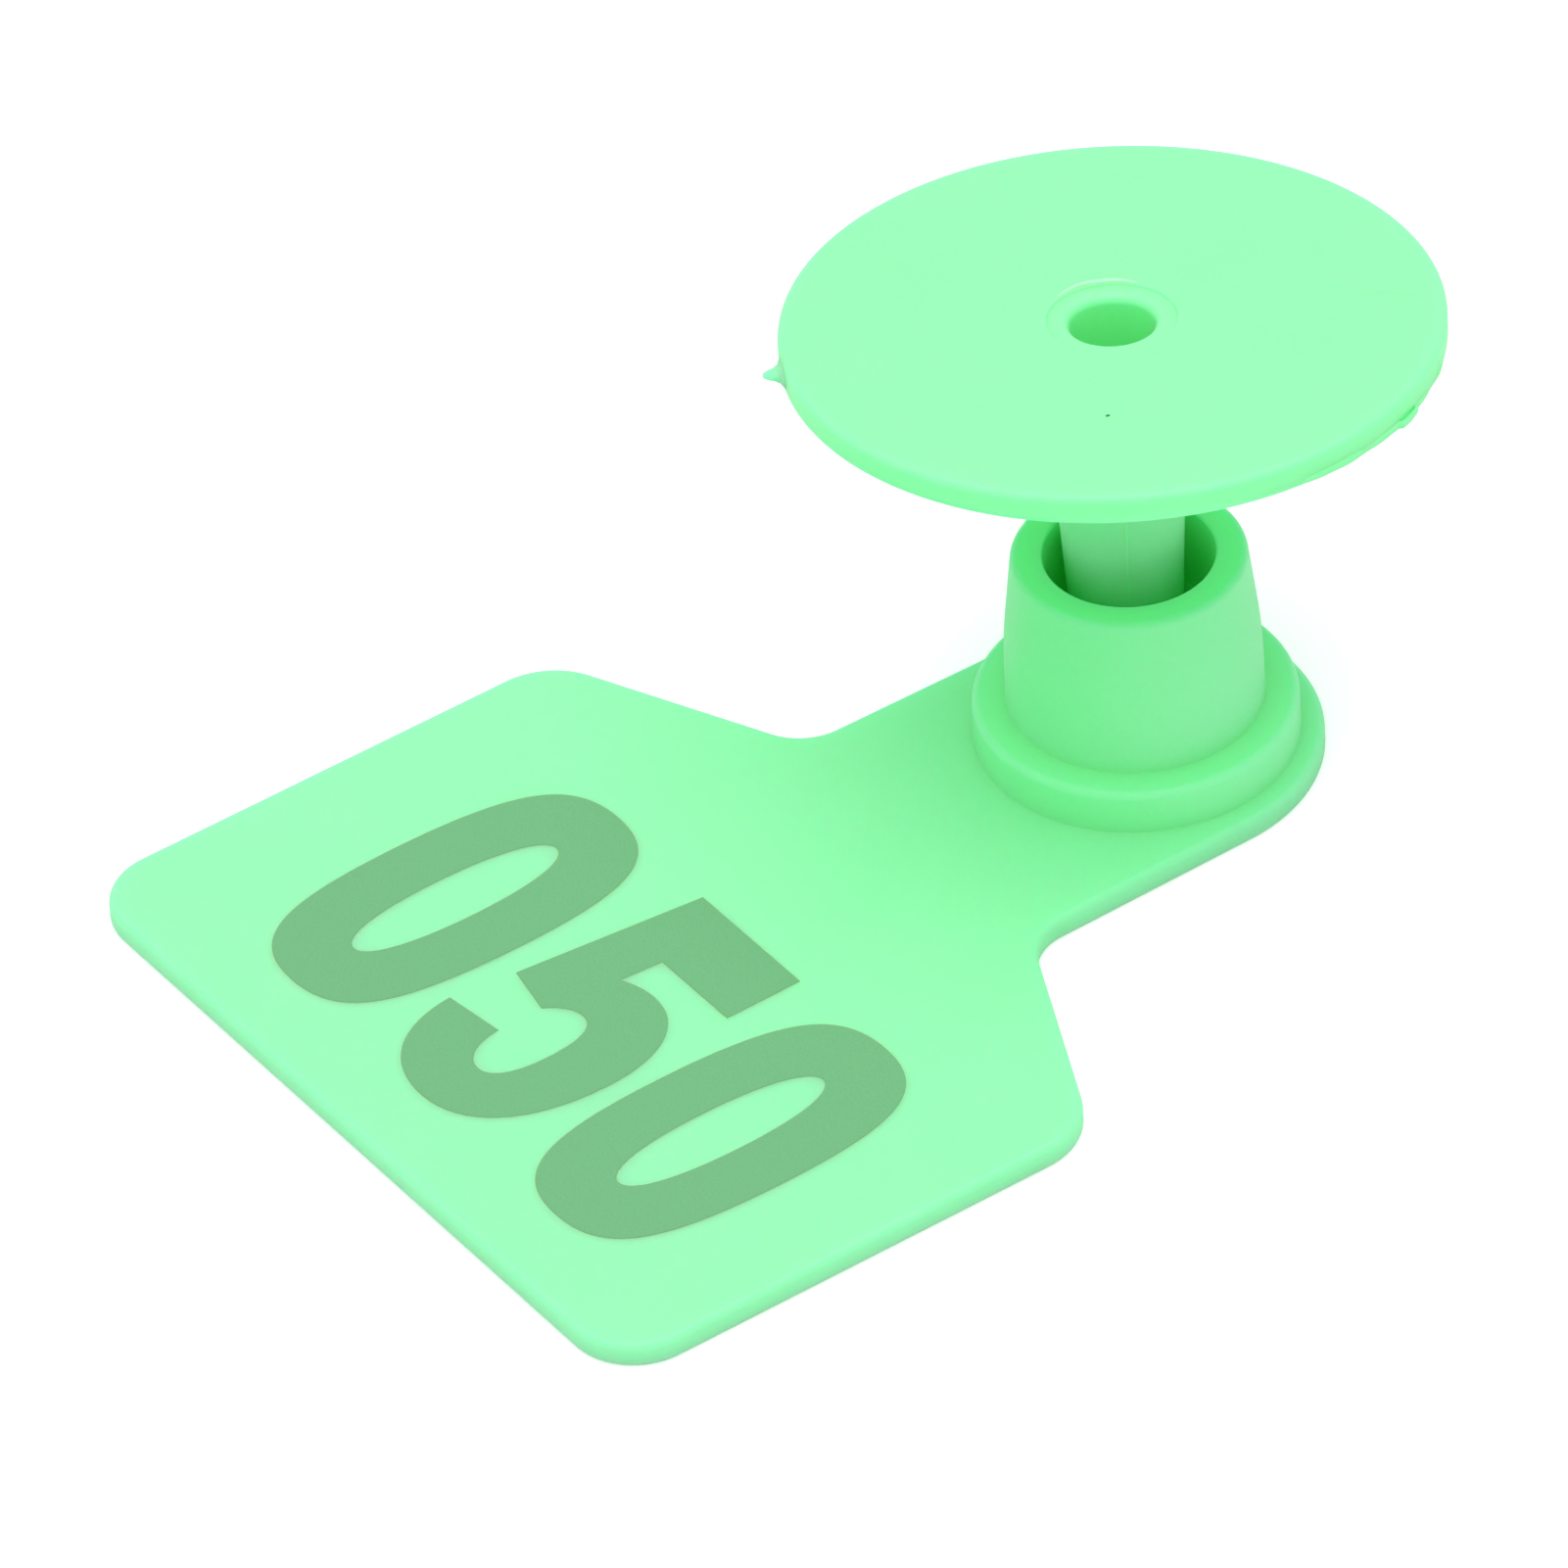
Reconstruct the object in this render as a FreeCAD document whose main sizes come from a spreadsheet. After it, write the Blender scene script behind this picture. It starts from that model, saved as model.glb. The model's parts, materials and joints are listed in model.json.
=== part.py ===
"""Two-piece livestock ear tag, closed as it hangs in an ear.

The female tag is one flexible moulding: a flat panel with a short neck, whose round end
carries a low flange and a tapered hollow boss.  The male button is a disc with a hollow,
tapered stem.  A hard piercing tip in the stem's end is caught under a lip inside the boss,
so the button can turn but can't be pulled out.

Row frame: millimetres, +Z up, origin where the boss axis meets the panel's flat back.
The panel runs from the boss towards -Y.  The button's own axis leans a little, as the
stem stands loosely in the bore.
"""
import FreeCAD, Part
import math
import os

import Sketcher

doc = FreeCAD.newDocument("EarTag")
NEAR = 1e-4  # how closely an edge has to lie at a place to be the one meant there

# ---------------------------------------------------------------- driving sizes

SIZES = [
    # panel
    ("panelWidth", 42.0, "side to side"),
    ("panelReach", 43.7, "boss axis to the bottom edge"),
    ("shoulderReach", 18.0, "boss axis to the corners where the sides meet the shoulders"),
    ("neckReach", 12.3, "boss axis to the foot of the neck"),
    ("neckFlare", 0.35, "how much wider the neck is at its foot than across the round end"),
    ("endMargin", 1.05, "panel left outside the flange at the round end"),
    ("panelThickness", 1.2, "sheet thickness of the moulding"),
    ("bottomCornerRadius", 3.3, "rounding of the two bottom corners"),
    ("shoulderRadius", 3.65, "rounding of the two side corners"),
    ("neckFilletRadius", 2.7, "inside rounding between shoulder and neck"),
    ("panelFrontRound", 0.35, "rounding of the printed face's edge"),
    ("panelBackChamfer", 0.25, "bevel of the back face's edge"),
    # flange and boss
    ("flangeHeight", 2.2, "flange above the panel"),
    ("flangeStep", 1.35, "ledge between the boss foot and the flange edge"),
    ("flangeRound", 0.6, "rounding of the flange's upper edge"),
    ("flangeFootChamfer", 0.35, "flange to panel"),
    ("bossHeight", 8.1, "boss above the flange"),
    ("bossWall", 1.43, "width of the boss's rim"),
    ("bossTaperWidth", 0.75, "how much the boss's radius grows from rim to foot"),
    ("bossFootChamfer", 0.3, "boss to flange"),
    ("rimRound", 0.3, "outer edge of the rim"),
    ("mouthChamfer", 0.12, "inner edge of the rim"),
    # bore, lip and chamber
    ("mouthGap", 0.18, "stem to the bore's mouth, on the side it leans to"),
    ("boreTaperWidth", 0.2, "how much narrower the bore is at its foot"),
    ("funnelHeight", 0.9, "lead-in above the lip"),
    ("lipThickness", 0.9, "straight part of the locking lip"),
    ("lipGap", 0.17, "stem to the lip, on the side it leans to"),
    ("headGap", 0.65, "play between the tip's shoulder and the lip"),
    ("chamberGap", 0.25, "tip to the chamber wall, on the side it leans to"),
    # male button
    ("discRadius", 15.0, "button"),
    ("discThickness", 1.5, "button"),
    ("discTopChamfer", 0.4, "upper edge of the button"),
    ("discUnderChamfer", 0.3, "lower edge of the button"),
    ("earGap", 10.25, "room for the ear, between the rim and the button"),
    ("holeRadius", 2.0, "applicator pin's hole"),
    ("stemWall", 0.42, "wall of the hollow stem at its end"),
    ("stemTaperWidth", 0.88, "how much the stem's radius grows from its end to the button"),
    ("stemRootChamfer", 0.7, "stem to button"),
    ("recessWidth", 0.97, "sunk ring around the hole"),
    ("recessDepth", 0.18, "sunk ring around the hole"),
    ("holeMouthChamfer", 0.1, "edge of the hole"),
    ("gateAngle", -116.5, "where the moulding gate was cut from the button's edge, degrees"),
    ("gateLength", 0.85, "stub that the cut left"),
    ("gateWidth", 1.3, "stub at its root"),
    ("gateTipWidth", 0.45, "stub at its end"),
    ("gateHeight", 0.55, "stub, along the button's axis"),
    ("gateRoot", 0.7, "how far the stub's root lies inside the edge"),
    # piercing tip
    ("tipClearance", 0.4, "point above the panel's back"),
    ("headHeight", 4.45, "point to shoulder"),
    ("headBand", 0.5, "straight band under the shoulder"),
    ("barb", 1.18, "how far the shoulder stands out from the stem's end"),
    ("pointRadius", 0.12, "bluntness of the point"),
    ("shankLength", 3.15, "shank above the shoulder"),
    ("shankStepWidth", 0.7, "how much slimmer the shank is than the pin's hole"),
    ("shankFit", 0.01, "shank to its socket"),
    # how the button stands in the boss
    ("leanAngle", 6.36, "button axis from the boss axis, degrees"),
    ("leanDirection", 146.4, "way the button leans, degrees from +X towards +Y"),
    ("stemShiftX", 0.15, "button axis at the level of the panel's back"),
    ("stemShiftY", -0.36, "button axis at the level of the panel's back"),
]

sheet = doc.addObject("Spreadsheet::Sheet", "Sizes")
for line, (alias, value, note) in enumerate(SIZES, start=1):
    sheet.set(f"A{line}", alias)
    sheet.set(f"B{line}", str(value))
    sheet.set(f"C{line}", note)
    sheet.setAlias(f"B{line}", alias)
doc.recompute()

# ------------------------------------------------- levels and radii worked out from them
# Each is an expression in the sheet's own names, so the document stays parametric.


def of(name):
    """The sheet's cell of that name, for use inside an expression."""
    return f"Sizes.{name}"


def total(*terms):
    return "(" + " + ".join(terms) + ")"


flange_top = total(of("panelThickness"), of("flangeHeight"))
boss_top = total(flange_top, of("bossHeight"))
disc_under = total(boss_top, of("earGap"))
disc_top = total(disc_under, of("discThickness"))
recess_floor = f"({disc_top} - {of('recessDepth')})"

stem_end = total(of("tipClearance"), of("headHeight"))
chamber_top = total(stem_end, of("headGap"))
lip_top = total(chamber_top, of("lipThickness"))
bore_foot = total(lip_top, of("funnelHeight"))
hole_floor = total(stem_end, of("shankLength"))

stem_end_radius = total(of("holeRadius"), of("stemWall"))
stem_root_radius = total(stem_end_radius, of("stemTaperWidth"))
head_radius = total(stem_end_radius, of("barb"))
shank_radius = f"({of('holeRadius')} - {of('shankStepWidth')})"
socket_radius = total(shank_radius, of("shankFit"))


def stem_radius_at(level):
    """Radius of the tapered stem at a level along its axis."""
    rise = f"({level} - {stem_end}) / ({disc_under} - {stem_end})"
    return f"({stem_end_radius} + {of('stemTaperWidth')} * {rise})"


def offset_at(level):
    """Distance between the button's axis and the boss axis at a level."""
    slope = f"tan({of('leanAngle')} * 1 deg) * {level}"
    across = f"({of('stemShiftX')} + {slope} * cos({of('leanDirection')} * 1 deg))"
    along = f"({of('stemShiftY')} + {slope} * sin({of('leanDirection')} * 1 deg))"
    return f"sqrt({across} * {across} + {along} * {along})"


bore_radius = total(stem_radius_at(boss_top), offset_at(boss_top), of("mouthGap"))
bore_foot_radius = f"({bore_radius} - {of('boreTaperWidth')})"
lip_radius = total(stem_radius_at(lip_top), offset_at(lip_top), of("lipGap"))
chamber_radius = total(head_radius, offset_at(stem_end), of("chamberGap"))

boss_top_radius = total(bore_radius, of("bossWall"))
boss_foot_radius = total(boss_top_radius, of("bossTaperWidth"))
flange_radius = total(boss_foot_radius, of("flangeStep"))
end_radius = total(flange_radius, of("endMargin"))
neck_width = f"(2 * {end_radius} + {of('neckFlare')})"


def value(expression):
    """The number that an expression stands for at the sheet's present values."""
    return float(sheet.evalExpression(expression))


# ---------------------------------------------------------------- building blocks


def new_body(label):
    body = doc.addObject("PartDesign::Body", label)
    body.Label = label
    return body


def new_sketch(body, name, plane):
    sketch = body.newObject("Sketcher::SketchObject", name)
    origin_plane = next(f for f in body.Origin.OriginFeatures if f.Role == plane)
    sketch.AttachmentSupport = (origin_plane, [""])
    sketch.MapMode = "FlatFace"
    return sketch


def bind(sketch, kind, references, expression):
    """A dimension of a sketch that takes its value from an expression."""
    index = sketch.addConstraint(Sketcher.Constraint(kind, *references, value(expression)))
    sketch.setExpression(f"Constraints[{index}]", expression)


def closed_profile(sketch, corners):
    """A closed run of straight lines, each corner held at its own (across, up) expressions."""
    points = [FreeCAD.Vector(value(across), value(up), 0) for across, up in corners]
    for start, end in zip(points, points[1:] + points[:1]):
        sketch.addGeometry(Part.LineSegment(start, end))
    for index, (across, up) in enumerate(corners):
        before = (index - 1) % len(corners)
        sketch.addConstraint(Sketcher.Constraint("Coincident", before, 2, index, 1))
        for kind, expression in (("DistanceX", across), ("DistanceY", up)):
            if expression == "0":
                axis = -2 if kind == "DistanceX" else -1
                sketch.addConstraint(Sketcher.Constraint("PointOnObject", index, 1, axis))
            else:
                bind(sketch, kind, (-1, 1, index, 1), expression)


def revolve(body, name, corners, kind="PartDesign::Revolution"):
    """A full turn of a profile about the body's own Z axis."""
    sketch = new_sketch(body, name + "Profile", "XZ_Plane")
    closed_profile(sketch, corners)
    feature = body.newObject(kind, name)
    feature.Profile = sketch
    feature.ReferenceAxis = (sketch, ["V_Axis"])
    feature.Angle = 360
    doc.recompute()
    return feature


def dress(kind, body, name, size, picks):
    """A fillet or chamfer on the edges of the body's last feature that picks() accepts."""
    base = body.Tip
    names = [f"Edge{i}" for i, edge in enumerate(base.Shape.Edges, start=1) if picks(edge)]
    if not names:
        raise RuntimeError(f"{body.Label}: {name} found no edge")
    feature = body.newObject("PartDesign::" + kind, name)
    feature.Base = (base, names)
    feature.setExpression("Radius" if kind == "Fillet" else "Size", of(size))
    doc.recompute()
    return feature


def fillet(body, name, size, picks):
    return dress("Fillet", body, name, size, picks)


def chamfer(body, name, size, picks):
    return dress("Chamfer", body, name, size, picks)


def ring(radius, level):
    """Picks the round edges of a radius at a level, about the body's Z axis."""
    radius, level = value(radius), value(level)

    def picks(edge):
        curve = edge.Curve
        return (isinstance(curve, Part.Circle) and abs(curve.Radius - radius) < NEAR
                and math.hypot(curve.Center.x, curve.Center.y) < NEAR
                and abs(curve.Center.z - level) < NEAR)
    return picks


def upright(x, y):
    """Picks the upright straight edges at (+-x, y)."""
    x, y = value(x), value(y)

    def picks(edge):
        middle = edge.CenterOfMass
        return (isinstance(edge.Curve, Part.Line) and abs(edge.tangentAt(edge.FirstParameter).z) > 0.99
                and abs(abs(middle.x) - x) < NEAR and abs(middle.y - y) < NEAR)
    return picks


def outline_at(level):
    """Picks every edge that lies flat at a level: the panel's outline there."""
    level = value(level)
    return lambda edge: edge.BoundBox.ZLength < NEAR and abs(edge.CenterOfMass.z - level) < NEAR


# ---------------------------------------------------------------- female tag


def panel_outline(body):
    """Panel, sloping shoulders and neck, closed by the round end about the boss axis."""
    sketch = new_sketch(body, "PanelOutline", "XY_Plane")
    half, foot = value(of("panelWidth")) / 2, value(neck_width) / 2
    bottom, shoulder, neck = (-value(of(n)) for n in ("panelReach", "shoulderReach", "neckReach"))
    radius = value(end_radius)
    vector = FreeCAD.Vector
    right = [vector(half, bottom), vector(half, shoulder), vector(foot, neck), vector(radius, 0)]
    left = [vector(-p.x, p.y) for p in reversed(right)]
    sketch.addGeometry(Part.LineSegment(left[3], right[0]))             # 0 bottom edge
    for start, end in zip(right, right[1:]):                            # 1 to 3
        sketch.addGeometry(Part.LineSegment(start, end))
    circle = Part.Circle(vector(0, 0), vector(0, 0, 1), radius)
    sketch.addGeometry(Part.ArcOfCircle(circle, 0, math.pi))            # 4 round end
    for start, end in zip(left, left[1:]):                              # 5 to 7
        sketch.addGeometry(Part.LineSegment(start, end))

    constraint = Sketcher.Constraint
    for before, after in ((0, 1), (1, 2), (2, 3), (5, 6), (6, 7), (7, 0)):
        sketch.addConstraint(constraint("Coincident", before, 2, after, 1))
    sketch.addConstraint(constraint("Coincident", 4, 3, -1, 1))
    sketch.addConstraint(constraint("Tangent", 3, 2, 4, 1))
    sketch.addConstraint(constraint("Tangent", 4, 2, 5, 1))
    sketch.addConstraint(constraint("Vertical", 1))
    sketch.addConstraint(constraint("Symmetric", 0, 1, 0, 2, -2))
    sketch.addConstraint(constraint("Symmetric", 1, 2, 7, 1, -2))
    sketch.addConstraint(constraint("Symmetric", 2, 2, 6, 1, -2))
    bind(sketch, "Radius", (4,), end_radius)
    bind(sketch, "DistanceX", (0, 1, 0, 2), of("panelWidth"))
    bind(sketch, "DistanceX", (6, 1, 2, 2), neck_width)
    bind(sketch, "DistanceY", (0, 1, -1, 1), of("panelReach"))
    bind(sketch, "DistanceY", (1, 2, -1, 1), of("shoulderReach"))
    bind(sketch, "DistanceY", (2, 2, -1, 1), of("neckReach"))
    return sketch


def make_female_tag():
    body = new_body("female_tag")
    panel = body.newObject("PartDesign::Pad", "Panel")
    panel.Profile = panel_outline(body)
    panel.setExpression("Length", of("panelThickness"))
    doc.recompute()
    half_panel, half_neck = f"({of('panelWidth')} / 2)", f"({neck_width} / 2)"
    fillet(body, "BottomCorners", "bottomCornerRadius", upright(half_panel, f"-{of('panelReach')}"))
    fillet(body, "Shoulders", "shoulderRadius", upright(half_panel, f"-{of('shoulderReach')}"))
    fillet(body, "NeckFillets", "neckFilletRadius", upright(half_neck, f"-{of('neckReach')}"))
    fillet(body, "FrontEdge", "panelFrontRound", outline_at(of("panelThickness")))
    chamfer(body, "BackEdge", "panelBackChamfer", outline_at("0"))

    revolve(body, "FlangeAndBoss", [
        ("0", of("panelThickness")),
        (flange_radius, of("panelThickness")),
        (flange_radius, flange_top),
        (boss_foot_radius, flange_top),
        (boss_top_radius, boss_top),
        ("0", boss_top),
    ])
    fillet(body, "FlangeEdge", "flangeRound", ring(flange_radius, flange_top))
    chamfer(body, "FlangeFoot", "flangeFootChamfer", ring(flange_radius, of("panelThickness")))
    chamfer(body, "BossFoot", "bossFootChamfer", ring(boss_foot_radius, flange_top))
    fillet(body, "RimEdge", "rimRound", ring(boss_top_radius, boss_top))

    # open at both ends: chamber for the tip, locking lip, lead-in and tapered bore
    revolve(body, "Bore", [
        ("0", "0"),
        (chamber_radius, "0"),
        (chamber_radius, chamber_top),
        (lip_radius, chamber_top),
        (lip_radius, lip_top),
        (bore_foot_radius, bore_foot),
        (bore_radius, boss_top),
        ("0", boss_top),
    ], "PartDesign::Groove")
    chamfer(body, "MouthEdge", "mouthChamfer", ring(bore_radius, boss_top))
    return body


# ---------------------------------------------------------------- male button and tip


def lean(body):
    """Stands a body on the button's own axis, which leans in the bore."""
    direction = f"{of('leanDirection')} * 1 deg"
    body.setExpression("Placement", (
        f"placement(vector({of('stemShiftX')}; {of('stemShiftY')}; 0); "
        f"rotation(vector(-sin({direction}); cos({direction}); 0); {of('leanAngle')}))"))


def make_male_button():
    body = new_body("male_button")
    revolve(body, "DiscAndStem", [
        (socket_radius, stem_end),
        (stem_end_radius, stem_end),
        (stem_root_radius, disc_under),
        (of("discRadius"), disc_under),
        (of("discRadius"), disc_top),
        (total(of("holeRadius"), of("recessWidth")), disc_top),
        (total(of("holeRadius"), of("recessWidth")), recess_floor),
        (of("holeRadius"), recess_floor),
        (of("holeRadius"), hole_floor),
        (socket_radius, hole_floor),
    ])
    chamfer(body, "TopEdge", "discTopChamfer", ring(of("discRadius"), disc_top))
    chamfer(body, "UnderEdge", "discUnderChamfer", ring(of("discRadius"), disc_under))
    chamfer(body, "StemRoot", "stemRootChamfer", ring(stem_root_radius, disc_under))
    chamfer(body, "HoleMouth", "holeMouthChamfer", ring(of("holeRadius"), recess_floor))

    # the stub that is left where the gate was cut off, half way up the disc's edge
    sketch = new_sketch(body, "GateOutline", "XY_Plane")
    middle = f"({disc_under} + ({of('discThickness')} - {of('gateHeight')}) / 2)"
    sketch.setExpression("AttachmentOffset", (
        f"placement(vector(0; 0; {middle}); rotation(vector(0; 0; 1); {of('gateAngle')}))"))
    inside = f"({of('discRadius')} - {of('gateRoot')})"
    outside = total(of("discRadius"), of("gateLength"))
    closed_profile(sketch, [
        (inside, f"(-{of('gateWidth')} / 2)"),
        (outside, f"(-{of('gateTipWidth')} / 2)"),
        (outside, f"({of('gateTipWidth')} / 2)"),
        (inside, f"({of('gateWidth')} / 2)"),
    ])
    stub = body.newObject("PartDesign::Pad", "GateStub")
    stub.Profile = sketch
    stub.setExpression("Length", of("gateHeight"))
    lean(body)
    return body


def make_piercing_tip():
    body = new_body("piercing_tip")
    revolve(body, "HeadAndShank", [
        ("0", of("tipClearance")),
        (of("pointRadius"), of("tipClearance")),
        (head_radius, f"({stem_end} - {of('headBand')})"),
        (head_radius, stem_end),
        (shank_radius, stem_end),
        (shank_radius, hole_floor),
        ("0", hole_floor),
    ])
    lean(body)
    return body


# ---------------------------------------------------------------- build, check, write

bodies = [make_female_tag(), make_male_button(), make_piercing_tip()]
doc.recompute()

for item in doc.Objects:
    if {"Invalid", "Error"} & set(item.State):
        raise RuntimeError(f"{item.Label} failed: {item.State}")
for body in bodies:
    if body.Shape.isNull() or not body.Shape.isValid() or len(body.Shape.Solids) != 1:
        raise RuntimeError(f"{body.Label} isn't one valid solid")

os.makedirs("parts", exist_ok=True)
for body in bodies:
    body.Shape.exportStep(os.path.join("parts", body.Label + ".step"))
    box = body.Shape.BoundBox
    print(f"{body.Label}: {body.Shape.Volume:.1f} mm3, "
          f"x {box.XMin:.2f} to {box.XMax:.2f}, y {box.YMin:.2f} to {box.YMax:.2f}, "
          f"z {box.ZMin:.2f} to {box.ZMax:.2f}")
print(f"bore radius {value(bore_radius):.3f}, lip radius {value(lip_radius):.3f}, "
      f"chamber radius {value(chamber_radius):.3f}, boss foot radius {value(boss_foot_radius):.3f}, "
      f"flange radius {value(flange_radius):.3f}, end radius {value(end_radius):.3f}")
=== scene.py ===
import json
import math

import bmesh
import bpy
from mathutils import Matrix, Vector


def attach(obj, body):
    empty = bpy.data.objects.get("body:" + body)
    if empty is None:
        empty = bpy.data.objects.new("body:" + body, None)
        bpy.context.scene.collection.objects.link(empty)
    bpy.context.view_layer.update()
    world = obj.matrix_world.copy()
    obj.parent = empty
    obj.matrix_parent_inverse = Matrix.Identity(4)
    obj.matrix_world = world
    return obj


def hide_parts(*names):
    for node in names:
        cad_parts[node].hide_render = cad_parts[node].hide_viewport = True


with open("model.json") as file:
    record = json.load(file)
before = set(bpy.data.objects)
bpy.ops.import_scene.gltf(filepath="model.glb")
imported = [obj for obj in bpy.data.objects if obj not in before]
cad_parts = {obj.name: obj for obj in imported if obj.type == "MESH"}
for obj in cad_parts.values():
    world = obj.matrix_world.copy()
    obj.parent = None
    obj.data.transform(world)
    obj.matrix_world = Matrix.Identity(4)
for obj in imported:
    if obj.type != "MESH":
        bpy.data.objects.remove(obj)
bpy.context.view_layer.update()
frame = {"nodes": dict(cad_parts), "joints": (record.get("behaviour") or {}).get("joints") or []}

mm = 0.001
print("frame loaded:", sorted(frame["nodes"]))


# camera, floor and light

cameraSettings = {
    "target": (0.044, -19.331, 8.0),     # mm, the point on the view axis
    "azimuth": 56.641,
    "elevation": 39.565,
    "roll": -3.569,
    "distance": 854.0,                   # mm from the target
    "lens": 439.24,
    "sensor": 36.0,
    "clip": (0.05, 20.0),                # m, nearest and farthest
}


def placeCamera(settings):
    azimuth, elevation = math.radians(settings["azimuth"]), math.radians(settings["elevation"])
    back = Vector((math.sin(azimuth) * math.cos(elevation),
                   -math.cos(azimuth) * math.cos(elevation),
                   math.sin(elevation)))
    level = (-back).cross(Vector((0, 0, 1))).normalized()
    up = level.cross(-back)
    roll = math.radians(settings["roll"])
    across = level * math.cos(roll) + up * math.sin(roll)
    upright = up * math.cos(roll) - level * math.sin(roll)
    data = bpy.data.cameras.new("camera")
    data.lens = settings["lens"]
    data.sensor_width = settings["sensor"]
    data.clip_start, data.clip_end = settings["clip"]
    camera = bpy.data.objects.new("camera", data)
    turn = Matrix((across, upright, back)).transposed().to_4x4()
    spot = Vector(settings["target"]) * mm + back * settings["distance"] * mm
    camera.matrix_world = Matrix.Translation(spot) @ turn
    bpy.context.scene.collection.objects.link(camera)
    bpy.context.scene.camera = camera


studioSettings = {
    "dome": 0.64,                # light from all round
    "floorColour": (0.92, 0.92, 0.92),
    "floorGlow": 0.36,           # seen only, it lights nothing
    "floorSize": 1500.0,         # mm
    "floorDrop": 0.02,           # mm under the tag's back
    "aim": (0, -19, 8),          # mm, the point that the softboxes face
    "boxes": {                   # name: place, size and power of each softbox
        "softboxTop": {"place": (40, -60, 700), "size": 900, "power": 4.25},
    },
}


def seenDirectly(tree):
    # 1 for what is looked at, straight or through a clear thing, and 0 for the light it gives
    rays = tree.nodes.new("ShaderNodeLightPath")
    seen = tree.nodes.new("ShaderNodeMath")
    seen.operation = "MAXIMUM"
    tree.links.new(rays.outputs["Is Camera Ray"], seen.inputs[0])
    tree.links.new(rays.outputs["Is Transmission Ray"], seen.inputs[1])
    return seen


def placeStudio(settings):
    scene = bpy.context.scene
    scene.view_settings.view_transform = "Standard"
    world = bpy.data.worlds.new("studioDome")
    scene.world = world
    world.use_nodes = True
    tree = world.node_tree
    tree.nodes.clear()
    seen = seenDirectly(tree)
    level = tree.nodes.new("ShaderNodeMix")
    level.inputs["A"].default_value = settings["dome"]
    level.inputs["B"].default_value = 1.0
    tree.links.new(seen.outputs[0], level.inputs["Factor"])
    backdrop = tree.nodes.new("ShaderNodeBackground")
    backdrop.inputs["Color"].default_value = (1, 1, 1, 1)
    tree.links.new(level.outputs["Result"], backdrop.inputs["Strength"])
    output = tree.nodes.new("ShaderNodeOutputWorld")
    tree.links.new(backdrop.outputs[0], output.inputs["Surface"])

    half = settings["floorSize"] * mm / 2
    drop = settings["floorDrop"] * mm
    mesh = bpy.data.meshes.new("floor")
    mesh.from_pydata([(-half, -half, -drop), (half, -half, -drop), (half, half, -drop), (-half, half, -drop)],
                     [], [(0, 1, 2, 3)])
    floor = bpy.data.objects.new("floor", mesh)
    scene.collection.objects.link(floor)
    paper = bpy.data.materials.new("palePaper")
    paper.use_nodes = True
    tree = paper.node_tree
    tree.nodes.clear()
    matt = tree.nodes.new("ShaderNodeBsdfDiffuse")
    matt.inputs["Color"].default_value = (*settings["floorColour"], 1)
    seen = seenDirectly(tree)
    amount = tree.nodes.new("ShaderNodeMath")
    amount.operation = "MULTIPLY"
    amount.inputs[1].default_value = settings["floorGlow"]
    tree.links.new(seen.outputs[0], amount.inputs[0])
    glow = tree.nodes.new("ShaderNodeEmission")
    tree.links.new(amount.outputs[0], glow.inputs["Strength"])
    both = tree.nodes.new("ShaderNodeAddShader")
    tree.links.new(matt.outputs[0], both.inputs[0])
    tree.links.new(glow.outputs[0], both.inputs[1])
    output = tree.nodes.new("ShaderNodeOutputMaterial")
    tree.links.new(both.outputs[0], output.inputs["Surface"])
    mesh.materials.append(paper)

    for name, box in settings["boxes"].items():
        data = bpy.data.lights.new(name, "AREA")
        data.shape = "DISK"
        data.size = box["size"] * mm
        data.energy = box["power"]
        lamp = bpy.data.objects.new(name, data)
        spot = Vector(box["place"]) * mm
        lamp.location = spot
        lamp.rotation_mode = "QUATERNION"
        lamp.rotation_quaternion = (Vector(settings["aim"]) * mm - spot).to_track_quat("-Z", "Y")
        scene.collection.objects.link(lamp)


placeCamera(cameraSettings)
placeStudio(studioSettings)
print("camera, floor and light placed")


# finishes


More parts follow.
